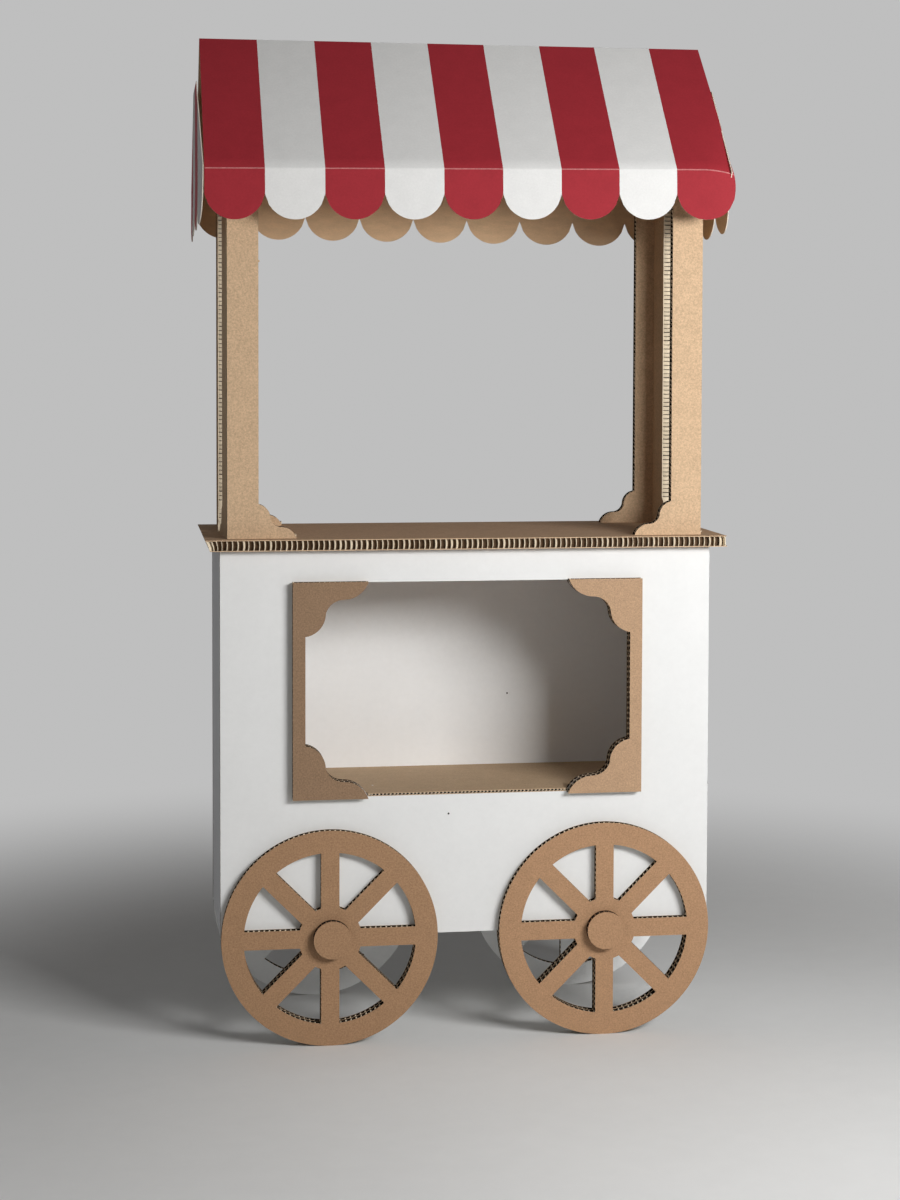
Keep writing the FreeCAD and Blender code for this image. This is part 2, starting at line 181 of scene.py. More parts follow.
def arc(start, end, radius, turn, steps=10):
    """Points of a short arc, with its start and without its end; turn is 1 where it bends left."""
    start, end = Vector(start), Vector(end)
    chord = end - start
    left = Vector((-chord.y, chord.x)).normalized()
    reach = math.sqrt(max(radius ** 2 - chord.length ** 2 / 4, 0.0))
    centre = (start + end) / 2 + left * turn * reach
    a = math.atan2(start.y - centre.y, start.x - centre.x)
    b = math.atan2(end.y - centre.y, end.x - centre.x)
    sweep = (b - a) % (2 * math.pi)
    if turn < 0:
        sweep -= 2 * math.pi
    angles = [a + sweep * i / steps for i in range(steps)]
    return [
        (centre.x + radius * math.cos(angle), centre.y + radius * math.sin(angle))
        for angle in angles
    ]


def walk(corners):
    """Points of a loop given by corners (x, y), or (x, y, radius, turn) where an arc leaves one."""
    points = []
    for index, corner in enumerate(corners):
        after = corners[(index + 1) % len(corners)]
        if len(corner) > 2:
            points += arc(corner[:2], after[:2], corner[2], corner[3])
        else:
            points.append(tuple(corner))
    return points


def backwards(corners):
    """The same corners walked the other way round."""
    out = []
    for index in range(len(corners) - 1, -1, -1):
        bend = corners[index - 1][2:] if index else ()
        out.append(tuple(corners[index][:2]) + ((bend[0], -bend[1]) if bend else ()))
    return out


def mirrored(corners):
    """The corners on the other side of x = 0, which also turns the way round."""
    return [(-c[0], c[1]) + ((c[2], -c[3]) if len(c) > 2 else ()) for c in corners]


def level(reach, rise):
    """Radius of an arc that spans reach and rise and is level at one end."""
    return (reach ** 2 + rise ** 2) / (2 * rise)


def upright(reach, rise):
    """Radius of an arc that spans reach and rise and is upright at one end."""
    return (reach ** 2 + rise ** 2) / (2 * reach)


def ring(x, y, radius, steps):
    """Circle of points, with the board inside it."""
    angles = [2 * math.pi * i / steps for i in range(steps)]
    return [(x + radius * math.cos(angle), y + radius * math.sin(angle)) for angle in angles]


def window_side(lip):
    """Right side of the window with its scrolled corners; the tips stand a lip off base and top."""
    base, top, half = WINDOW_BASE, WINDOW_TOP, WINDOW_HALF
    tip, cove, heel = half - 0.0915, half - 0.0555, half - 0.0295
    cove_rise, heel_rise, full_rise = 0.0255, 0.045, 0.0785
    tip_arc, cove_arc = level(0.036, cove_rise - lip), level(0.026, 0.0195)
    heel_arc = upright(0.0295, 0.0335)
    return [
        (tip, base + lip, tip_arc, -1),
        (cove, base + cove_rise, cove_arc, 1),
        (heel, base + heel_rise, heel_arc, -1),
        (half, base + full_rise),
        (half, top - full_rise, heel_arc, -1),
        (heel, top - heel_rise, cove_arc, 1),
        (cove, top - cove_rise, tip_arc, -1),
        (tip, top - lip),
    ]


def spoke_holes(x, y, only_below=False):
    """Openings of a wheel between its eight spokes, walked with the board on the left."""
    loops = []
    spokes, half, rim, hub = 8, 0.01325, 0.125, 0.046
    for index in range(spokes):
        middle = math.radians((index + 0.5) * 360 / spokes)
        if only_below and math.sin(middle) > 0:
            continue
        points = []
        for radius, way, steps in ((rim, 1, 16), (hub, -1, 5)):
            span = math.pi / spokes - math.asin(half / radius)
            for i in range(steps + 1):
                angle = middle + way * span * (2 * i / steps - 1)
                points.append((x + radius * math.cos(angle), y + radius * math.sin(angle)))
        loops.append(points[::-1])
    return loops


def leg(width, reach, rise):
    """Leg of a post with its curved foot; its outer edge is x = 0 and its foot points to -x.

    reach goes from the leg out to the foot's tip, and rise from the table up.
    """
    height = 0.556
    heel, cove, tip = (-(width + sum(reach[:n])) for n in (1, 2, 3))
    return [
        (0, 0), (0, height), (-width, height),
        (-width, sum(rise), upright(reach[0], rise[2]), 1),
        (heel, rise[0] + rise[1], level(reach[1], rise[1]), -1),
        (cove, rise[0], level(reach[2], rise[0]), 1),
        (tip, 0),
    ]


def inset(points, distance):
    """The loop moved to its left, into the board."""
    out = []
    for i, point in enumerate(points):
        p = Vector(point)
        before = (p - Vector(points[i - 1])).normalized()
        after = (Vector(points[(i + 1) % len(points)]) - p).normalized()
        a, b = Vector((-before.y, before.x)), Vector((-after.y, after.x))
        out.append(tuple(p + (a + b) * distance / max(1 + a.dot(b), 0.35)))
    return out


def edge_loop(points, longest):
    """The loop with extra points, so that no side is longer than asked."""
    out = []
    for i, point in enumerate(points):
        p, q = Vector(point), Vector(points[(i + 1) % len(points)])
        count = max(1, math.ceil((q - p).length / longest))
        out += [tuple(p.lerp(q, n / count)) for n in range(count)]
    return out


class Shell:
    """Vertices, faces and material numbers of a mesh under construction."""

    def __init__(self):
        self.verts, self.faces, self.slots, self.guides = [], [], [], []

    def prism(self, loops, low, high, cap, side, bottom=None):
        """Solid between two heights; the first loop is its outline and the others are holes."""
        flat = [[Vector((x, y, 0)) for x, y in loop] for loop in loops]
        points = [p for loop in flat for p in loop]
        start = len(self.verts)
        self.verts += [(p.x, p.y, low) for p in points] + [(p.x, p.y, high) for p in points]
        n = len(points)
        for tri in tessellate_polygon(flat):
            a, b, c = (points[i] for i in tri)
            if (b - a).cross(c - a).z < 0:
                tri = tri[::-1]
            self.add([start + n + i for i in tri], cap)
            self.add([start + i for i in tri[::-1]], cap if bottom is None else bottom)
        first = start
        for loop in loops:
            for i in range(len(loop)):
                a, b = first + i, first + (i + 1) % len(loop)
                self.add([a, b, b + n, a + n], side)
            first += len(loop)

    def guide(self, loops, height):
        """Loose edges along which the cut cells are set out."""
        for loop in loops:
            start = len(self.verts)
            self.verts += [(x, y, height) for x, y in loop]
            self.guides += [(start + i, start + (i + 1) % len(loop)) for i in range(len(loop))]

    def add(self, face, slot):
        self.faces.append(face)
        self.slots.append(slot)

    def mesh(self, name, mats):
        mesh = bpy.data.meshes.new(name)
        mesh.from_pydata(self.verts, self.guides, self.faces)
        for mat in mats:
            mesh.materials.append(mat)
        mesh.polygons.foreach_set("material_index", self.slots)
        mark = mesh.attributes.new("cut_edge", "BOOLEAN", "POINT")
        loose = set(i for pair in self.guides for i in pair)
        mark.data.foreach_set("value", [i in loose for i in range(len(self.verts))])
        mesh.update()
        return mesh


# Geometry Nodes

def new_group(name, **kinds):
    """Node group with geometry in and out and the named inputs, and its input sockets."""
    group = bpy.data.node_groups.new(name, "GeometryNodeTree")
    sockets = group.interface.new_socket
    sockets(name="Geometry", in_out="OUTPUT", socket_type="NodeSocketGeometry")
    for key, kind in {"Geometry": "Geometry", **kinds}.items():
        sockets(name=key, in_out="INPUT", socket_type=f"NodeSocket{kind}")
    return group, node(group, "NodeGroupInput", -1400, 0).outputs


def cell_nodes():
    """Sets cell walls out along a board's cut edge, from liner to liner and all leaning one way."""
    group, take = new_group(
        "Honeycomb edge", Pitch="Float", Height="Float", Depth="Float", Thickness="Float",
        Lean="Float", Bow="Float", Wander="Float", Seed="Int", Wall="Material",
    )
    mark = node(group, "GeometryNodeInputNamedAttribute", -1400, 300, {
        "Name": "cut_edge",
    }, data_type="BOOLEAN")
    split = node(group, "GeometryNodeSeparateGeometry", -1150, 200, {
        "Geometry": take["Geometry"], "Selection": mark.outputs["Attribute"],
    }, domain="POINT")
    curve = node(group, "GeometryNodeMeshToCurve", -950, 200, {"Mesh": split.outputs["Selection"]})
    even = node(group, "GeometryNodeResampleCurve", -750, 200, {
        "Curve": curve.outputs[0], "Length": take["Pitch"],
    }, mode="LENGTH")

    # One wall, bowed between the liners, with its outer side at the cut
    size = node(group, "ShaderNodeCombineXYZ", -1150, -300, {
        0: take["Thickness"], 1: take["Depth"], 2: take["Height"],
    })
    wall = node(group, "GeometryNodeMeshCube", -950, -300, {
        "Size": size.outputs[0], "Vertices Z": 5,
    })
    place = node(group, "GeometryNodeInputPosition", -1400, -600)
    parts = node(group, "ShaderNodeSeparateXYZ", -1200, -600, {0: place.outputs[0]})
    ratio = maths(group, "DIVIDE", -1000, -600, parts.outputs[2], take["Height"])
    square = maths(group, "MULTIPLY", -820, -600, ratio, ratio)
    bow = maths(group, "MULTIPLY", -640, -600, square, take["Bow"])
    bow = maths(group, "MULTIPLY", -480, -600, bow, -8.0)
    half = maths(group, "MULTIPLY", -820, -800, take["Depth"], 0.5)
    shift = node(group, "ShaderNodeCombineXYZ", -320, -600, {0: bow, 1: half})
    bent = node(group, "GeometryNodeSetPosition", -700, -300, {
        "Geometry": wall.outputs["Mesh"], "Offset": shift.outputs[0],
    })

    # Its turn: along the edge, then by the lean, give or take the wander
    tangent = node(group, "GeometryNodeInputTangent", -950, 500)
    align = node(group, "FunctionNodeAlignRotationToVector", -700, 500, {
        "Vector": tangent.outputs[0],
    }, axis="X", pivot_axis="Z")
    lean = maths(group, "MULTIPLY", -950, 700, take["Lean"], -1.0)
    low = maths(group, "SUBTRACT", -1150, 900, lean, take["Wander"])
    high = maths(group, "ADD", -1150, 1100, lean, take["Wander"])
    wander = node(group, "FunctionNodeRandomValue", -950, 900, {
        "Seed": take["Seed"],
    }, data_type="FLOAT")
    ends = [s for s in wander.inputs if s.type == "VALUE"]
    feed(group, ends[0], low)
    feed(group, ends[1], high)
    angle = next(s for s in wander.outputs if s.type == "VALUE")
    spin = node(group, "ShaderNodeCombineXYZ", -700, 900, {2: angle})
    as_turn = node(group, "FunctionNodeEulerToRotation", -560, 900, {0: spin.outputs[0]})
    turned = node(group, "FunctionNodeRotateRotation", -450, 600, {
        0: align.outputs[0], 1: as_turn.outputs[0],
    }, rotation_space="LOCAL")
    copies = node(group, "GeometryNodeInstanceOnPoints", -200, 200, {
        "Points": even.outputs[0], "Instance": bent.outputs[0], "Rotation": turned.outputs[0],
    })
    real = node(group, "GeometryNodeRealizeInstances", 0, 200, {0: copies.outputs[0]})
    paint = node(group, "GeometryNodeSetMaterial", 200, 200, {
        "Geometry": real.outputs[0], "Material": take["Wall"],
    })
    join = node(group, "GeometryNodeJoinGeometry", 400, 100)
    feed(group, join.inputs[0], split.outputs["Inverted"])
    feed(group, join.inputs[0], paint.outputs[0])
    node(group, "NodeGroupOutput", 600, 100, {0: join.outputs[0]})
    return group


def stripe_nodes():
    """Repeats one striped panel side by side and paints every other copy in the second print."""
    group, take = new_group(
        "Stripe row", Stripes="Int", Width="Float", Along="Vector", Print="Material",
    )
    step = node(group, "ShaderNodeVectorMath", -800, -200, {
        0: take["Along"], "Scale": take["Width"],
    }, operation="SCALE")
    line = node(group, "GeometryNodeMeshLine", -600, 0, {
        "Count": take["Stripes"], "Offset": step.outputs[0],
    }, mode="OFFSET")
    copies = node(group, "GeometryNodeInstanceOnPoints", -400, 0, {
        "Points": line.outputs[0], "Instance": take["Geometry"],
    })
    number = node(group, "GeometryNodeInputIndex", -600, -400)
    odd = maths(group, "MODULO", -400, -400, number.outputs[0], 2.0)
    keep = node(group, "GeometryNodeStoreNamedAttribute", -200, 0, {
        "Name": "second", "Geometry": copies.outputs[0],
    }, domain="INSTANCE", data_type="FLOAT")
    feed(group, next(s for s in keep.inputs if s.name == "Value" and s.enabled), odd)
    real = node(group, "GeometryNodeRealizeInstances", 0, 0, {0: keep.outputs[0]})
    mark = node(group, "GeometryNodeInputNamedAttribute", 0, -300, {
        "Name": "second",
    }, data_type="FLOAT")

    # The printed faces are those of materials 0 and 3
    face = node(group, "GeometryNodeInputMaterialIndex", 0, -500)
    printed = maths(group, "MODULO", 90, -600, face.outputs[0], 3.0)
    outer = node(group, "FunctionNodeCompare", 180, -500, data_type="INT", operation="EQUAL")
    whole = [s for s in outer.inputs if s.type == "INT"]
    feed(group, whole[0], printed)
    feed(group, whole[1], 0)
    second = next(s for s in mark.outputs if s.enabled)
    both = maths(group, "MULTIPLY", 360, -400, second, outer.outputs[0])
    paint = node(group, "GeometryNodeSetMaterial", 540, 0, {
        "Geometry": real.outputs[0], "Selection": both, "Material": take["Print"],
    })
    weld = node(group, "GeometryNodeMergeByDistance", 720, 0, {
        "Geometry": paint.outputs[0], "Distance": 0.00002,
    })
    node(group, "NodeGroupOutput", 900, 0, {0: weld.outputs[0]})
    return group


def grown(mesh, group, **values):
    """The mesh after a node group, with its inputs set by name."""
    item = bpy.data.objects.new(mesh.name, mesh)
    bpy.context.scene.collection.objects.link(item)
    modifier = item.modifiers.new("nodes", "NODES")
    modifier.node_group = group
    for entry in group.interface.items_tree:
        if entry.item_type == "SOCKET" and entry.in_out == "INPUT" and entry.name in values:
            modifier[entry.identifier] = values[entry.name]
    item.update_tag()
    bpy.context.view_layer.update()
    graph = bpy.context.evaluated_depsgraph_get()
    result = bpy.data.meshes.new_from_object(item.evaluated_get(graph), depsgraph=graph)
    bpy.data.objects.remove(item)
    return result


# Pieces

KIT = {}  # materials, node groups and board settings


def add_piece(name, mesh, nodes, slot):
    """Piece of the stand, in place of the named solids if any."""
    mesh.name = name
    piece = bpy.data.objects.new(name, mesh)
    bpy.context.scene.collection.objects.link(piece)
    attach(piece, "root")
    if nodes:
        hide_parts(*nodes)
    return piece


# Turns of a board drawn in x and y: upright and facing front, or upright and facing right
FACING = Matrix.Rotation(math.radians(90), 4, "X")
SIDEWAYS = Matrix(((0, 0, 1, 0), (1, 0, 0, 0), (0, 1, 0, 0), (0, 0, 0, 1)))


def stand(x, y, z, turn):
    return Matrix.Translation((x, y, z)) @ turn


def honeycomb(
    name, loops, thickness, matrix, nodes, slot, mats,
    liner=0.0011, recess=0.0045, deform=None, cells=None, sink=0.0,
):
    """Board with two liners, an inner block set back from its cut edges with its faces in painted
    shade, and cell walls in the gap.

    mats names the front face, back face, liner edge, wall and the painted shade of the cells; the
    front face is at the high side, and sink moves the walls away from it.
    """
    palette = [KIT["mats"][key] for key in mats]
    shell = Shell()
    buried = liner * 0.9
    # The inner block's faces and the liners' inner faces are painted shade, which stands in for the
    # shade deep inside the cut cells
    shaded_core = [inset(edge_loop(loop, 0.006), recess) for loop in loops]
    shell.prism(shaded_core, buried, thickness - buried, CELL_SHADE, CELL_SHADE)
    shell.prism(loops, 0.0, liner, CELL_SHADE, LINER_EDGE, REVERSE)
    shell.prism(loops, thickness - liner, thickness, FACE, LINER_EDGE, CELL_SHADE)
    cut = [edge_loop(inset(loop, 0.0005), 0.02) for loop in loops]
    shell.guide(cut, thickness / 2 - sink)
    values = {
        "Pitch": KIT["boards"].cell_pitch, "Height": thickness - 2 * liner,
        "Depth": recess + 0.0006, "Thickness": 0.0013, "Lean": 0.45, "Bow": 0.0006,
        "Wander": 0.2, "Seed": len(name), "Wall": palette[WALL],
    }
    values.update(cells or {})
    mesh = grown(shell.mesh(name, palette), KIT["cells"], **values)
    mesh.transform(matrix)
    if deform:
        for vertex in mesh.vertices:
            vertex.co = deform(vertex.co.copy())
    return add_piece(name, mesh, nodes, slot)


def metres(name, description, default):
    return bpy.props.FloatProperty(
        name=name, description=description, default=default, unit="LENGTH",
    )


def degrees(name, description, default):
    return bpy.props.FloatProperty(
        name=name, description=description, default=math.radians(default), subtype="ANGLE",
    )


class BoardSettings(bpy.types.PropertyGroup):
    cell_pitch: metres("Cell pitch", "Distance between cell walls along a cut edge", 0.0077)
    rib_pitch: metres("Rib pitch", "Distance between ribs along the posts' cut edges", 0.0064)
    white_board: metres("White board", "Thickness of the white body panels", 0.011)
    trim_board: metres("Trim board", "Thickness of wheels, hub discs and window brackets", 0.012)
    thick_board: metres("Thick board", "Thickness of the table and the posts", 0.016)
    crush: metres("Crushed end", "How far the table's left end leans in at its underside", 0.007)


class AwningSettings(bpy.types.PropertyGroup):
    stripe: metres("Stripe", "Width of one stripe and its scallop", 0.085)
    scallop: metres("Scallop", "Height of a scallop below its band", 0.036)
    card: metres("Card", "Thickness of the printed card", 0.0013)
    twist: metres("Twist", "Rise of the front fold over the awning's half width", 0.0041)
    curl: metres("Curl", "Radius of the valance's curl at its right end", 0.3)


class StageSettings(bpy.types.PropertyGroup):
    key_power: bpy.props.FloatProperty(
        name="Key power", description="Power of the softbox at the right", default=38.0,
        unit="POWER",
    )
    key_side: degrees("Key side", "Angle of the softbox off the stand's front", 34.9)
    key_height: degrees("Key height", "Angle of the softbox above the stand's middle", 15)
    key_distance: metres("Key distance", "Distance from the softbox to the stand", 1.956)
    room: bpy.props.FloatProperty(
        name="Room light", description="Strength of the even light from all sides", default=0.10,
    )


class Piece:
    """Shared by the operators that build pieces."""

    bl_options = {"REGISTER", "UNDO"}

    def execute(self, context):
        self.build(context.scene)
        return {"FINISHED"}


class CART_OT_panels(Piece, bpy.types.Operator):
    """Front and back panels with their half-wheel feet, and finishes for the plain boards"""

    bl_idname = "cart.panels"
    bl_label = "Panels"

    def build(self, scene):
        thick = scene.cart_boards.white_board
        half, base, steps = 0.36, WHEEL_RADIUS, 70
        outline = [(-half, base)]
        for x in (-HUB_X, HUB_X):
            turns = [math.pi * i / steps for i in range(steps + 1)]
            outline += [
                (x - WHEEL_RADIUS * math.cos(turn), base - WHEEL_RADIUS * math.sin(turn))
                for turn in turns
            ]
        outline += [(half, base), (half, BODY_TOP), (-half, BODY_TOP)]
        feet = spoke_holes(-HUB_X, base, True) + spoke_holes(HUB_X, base, True)
        side = window_side(WINDOW_LIP)
        window = walk(backwards(side + mirrored(backwards(side))))
        white = ("white", "white", "liner", "wall", "deep_shade")
        honeycomb(
            "front_board", [outline, window] + feet, thick, stand(0, FRONT + thick, 0, FACING),
            ["front_panel"], "white_board", white,
        )
        # The back board's face takes the white copy with painted light
        honeycomb(
            "back_board", [outline] + feet, thick, stand(0, BACK, 0, FACING),
            ["back_panel"], "white_board", ("white_painted_light",) + white[1:],
        )
        for name, key in (
            # The side panels take the white copy with painted shade
            ("side_panel_left", "white_painted_shade"), ("side_panel_right", "white_painted_shade"),
            ("bottom_panel", "white"), ("top_rail_front", "kraft"), ("top_rail_back", "kraft"),
            ("gable_left", "kraft"), ("gable_right", "kraft"),
        ):
            for holder in bpy.data.objects[name].material_slots:
                holder.material = KIT["mats"][key]


class CART_OT_wheels(Piece, bpy.types.Operator):
    """Kraft wheels and hub discs on the front panel"""

    bl_idname = "cart.wheels"
    bl_label = "Wheels"

    def build(self, scene):
        thick = scene.cart_boards.trim_board
        wheel = [ring(0, 0, WHEEL_RADIUS, 160)] + spoke_holes(0, 0)
        disc = [ring(0, 0, 0.0275, 64)]
        for side, x, disc_x, kraft in (
            # The right wheel and disc take the kraft copy with painted light
            ("left", -HUB_X, -0.2, "kraft"), ("right", HUB_X, HUB_X, "kraft_wheel_painted_light"),
        ):
            honeycomb(
                f"wheel_board_{side}", wheel, thick, stand(x, FRONT, WHEEL_RADIUS, FACING),
                [f"wheel_{side}"], "kraft_board", (kraft, kraft, "liner", "wall", "deep_shade"),
                liner=THIN_LINER, cells=THIN_CELLS,
            )
            honeycomb(
                f"hub_board_{side}", disc, thick,
                stand(disc_x, FRONT - thick, WHEEL_RADIUS, FACING), [f"hub_disc_{side}"],
                "kraft_board", (kraft, kraft, kraft, kraft, "deep_shade"), recess=0.0008,
            )


class CART_OT_window(Piece, bpy.types.Operator):
    """Scrolled brackets round the window"""

    bl_idname = "cart.window"
    bl_label = "Window brackets"

    def build(self, scene):
        outer = [(BRACKET_HALF, WINDOW_BASE), (BRACKET_HALF, WINDOW_TOP)]
        inner = backwards(window_side(0.0))
        for side, corners, kraft in (
            # Right bracket with painted light, left bracket with painted shade
            ("right", outer + inner, "kraft_bracket_painted_light"),
            ("left", mirrored(backwards(inner + outer)), "kraft_bracket_painted_shade"),
        ):
            honeycomb(
                f"bracket_board_{side}", [walk(corners)], scene.cart_boards.trim_board,
                stand(0, FRONT, 0, FACING), [f"window_bracket_{side}"], "kraft_board",
                (kraft, kraft, "liner", "wall", "deep_shade"), liner=THIN_LINER, cells=THIN_CELLS,
            )


class CART_OT_shelf(Piece, bpy.types.Operator):
    """Corrugated shelf that slopes back from the window's lower edge"""

    bl_idname = "cart.shelf"
    bl_label = "Shelf"

    def build(self, scene):
        lip = scene.cart_boards.white_board
        half, depth, tongue = 0.349, 0.237, 0.1465
        loop = [
            (-tongue, -lip), (tongue, -lip), (tongue, 0), (half, 0), (half, depth), (-half, depth),
            (-half, 0), (-tongue, 0),
        ]
        slope = Matrix.Rotation(math.radians(-1.9), 4, "X")
        honeycomb(
            "shelf_board", [loop], 0.004, stand(0, FRONT + lip, WINDOW_BASE + WINDOW_LIP, slope),
            ["shelf"], "shelf_board", ("shelf", "shelf", "liner", "wall", "deep_shade"),
            liner=0.0007, recess=0.003,
            cells={"Pitch": 0.0055, "Lean": 0.3, "Bow": 0.0008, "Thickness": 0.0016},
        )


class CART_OT_table(Piece, bpy.types.Operator):
    """Table board with a crushed left end and a ragged right end"""

    bl_idname = "cart.table"
    bl_label = "Table"

    def build(self, scene):
        boards = scene.cart_boards
        half, front, back = 0.3815, FRONT - 0.0165, BACK + 0.023
        crushed_from, ragged_from, ragged = -0.355, 0.372, 0.0012
        chance = random.Random(5)
        wobble = [chance.uniform(-ragged, ragged) for _ in range(60)]

        def worn(p):
            under = (TABLE_Z - p.z) / boards.thick_board
            end = max(0.0, (crushed_from - p.x) / (half + crushed_from))
            p.x += boards.crush * end * under
            if p.x > ragged_from:
                place = int((p.y + 0.16) * 170)  # about one for every cell wall
                p.x += wobble[place % len(wobble)] * (0.4 + under)
            return p

        loop = [(-half, front), (half, front), (half, back), (-half, back)]
        honeycomb(
            "table_board", [edge_loop(loop, 0.01)], boards.thick_board,
            Matrix.Translation((0, 0, BODY_TOP)), ["table_top"], "kraft_board",
            # The table's cells take the lighter painted shade
            ("tabletop", "tabletop", "liner", "wall", "shaded_core"), recess=0.006, deform=worn,
            cells={"Lean": 0.28, "Bow": 0.0004, "Wander": 0.25, "Thickness": 0.0009},
        )


# Left posts whose side leg isn't square to the front: drift to the right for each metre back
SKEWS = {("front", "left"): -0.045, ("back", "left"): 0.055}


def skewed(drift, start):
    """A change of shape that drifts points to the right, the further they are behind start."""
    def deform(p):
        p.x += drift * (p.y - start)
        return p

    return deform


class CART_OT_posts(Piece, bpy.types.Operator):
    """Four corner posts, each of two legs with curved feet"""

    bl_idname = "cart.posts"
    bl_label = "Posts"

    def build(self, scene):
        boards = scene.cart_boards
        thick = boards.thick_board
        side_width, outer, slip = 0.062, 0.349, 0.004
        face = leg(0.045, (0.0172, 0.0155, 0.022), (0.0165, 0.0125, 0.0205))
        side = leg(side_width, (0.013, 0.011, 0.016), (0.014, 0.011, 0.0175))
        front_y, back_y = FRONT + 0.0095, BACK + 0.0025
        mats = ("post", "post", "wall", "wall", "deep_shade")
        ribs = {
            "Pitch": boards.rib_pitch, "Lean": 1.2, "Bow": 0.0004, "Wander": 0.16,
            "Thickness": 0.0009, "Depth": 0.0054,
        }
        for depth, y in (("front", front_y + thick), ("back", back_y)):
            for hand, sign in (("left", -1), ("right", 1)):
                post = f"{depth}_{hand}"
                x = sign * outer - (slip if post == "back_left" else 0.0)
                corners = face if sign > 0 else mirrored(backwards(face))
                honeycomb(
                    f"post_board_{post}_face", [walk(corners)], thick, stand(x, y, TABLE_Z, FACING),
                    [f"post_{post}_face"], "kraft_board", mats, recess=0.0035, cells=ribs,
                )
                if depth == "front":
                    corners, near, start = mirrored(backwards(side)), front_y, y
                else:
                    corners, near, start = side, y - side_width, y - thick
                inner = x - thick if sign > 0 else x
                honeycomb(
                    f"post_board_{post}_side", [walk(corners)], thick,
                    stand(inner, start, TABLE_Z, SIDEWAYS), [f"post_{post}_side"], "kraft_board",
                    mats, recess=0.0035, deform=skewed(SKEWS.get((depth, hand), 0.0), near),
                    cells={**ribs, "Height": 0.0115}, sink=0.0011,
                )


def tilted(p):
    """Point of the awning's own frame, tipped back with the roof, in the stand's frame."""
    c, s = math.cos(TILT), math.sin(TILT)
    return Vector((p.x, ROOF_Y + p.y * c + p.z * s, EAVE_Z - p.y * s + p.z * c))


def skin(rows):
    """Closed sheet from rows of (outer, inner) point pairs."""
    shell = Shell()
    count = len(rows[0])
    for row in rows:
        shell.verts += [p for pair in row for p in pair]

    def at(row, column, inner):
        return (row * count + column) * 2 + inner

    last, end = len(rows) - 1, count - 1
    for r in range(last):
        for c in range(end):
            shell.add([at(r, c, 0), at(r, c + 1, 0), at(r + 1, c + 1, 0), at(r + 1, c, 0)], PRINT)
            shell.add([at(r, c, 1), at(r + 1, c, 1), at(r + 1, c + 1, 1), at(r, c + 1, 1)], INSIDE)
        shell.add([at(r, 0, 0), at(r + 1, 0, 0), at(r + 1, 0, 1), at(r, 0, 1)], RIM)
        shell.add([at(r, end, 0), at(r, end, 1), at(r + 1, end, 1), at(r + 1, end, 0)], RIM)
    for c in range(end):
        shell.add([at(0, c, 0), at(0, c, 1), at(0, c + 1, 1), at(0, c + 1, 0)], RIM)
        shell.add([at(last, c, 0), at(last, c + 1, 0), at(last, c + 1, 1), at(last, c, 1)], RIM)
    return shell


def scallop_drop(offset, width, rise):
    """How far the hem hangs below its band at a distance from the scallop's middle."""
    radius = (rise ** 2 + width ** 2 / 4) / (2 * rise)
    return rise - radius + math.sqrt(max(radius ** 2 - offset ** 2, 0.0))


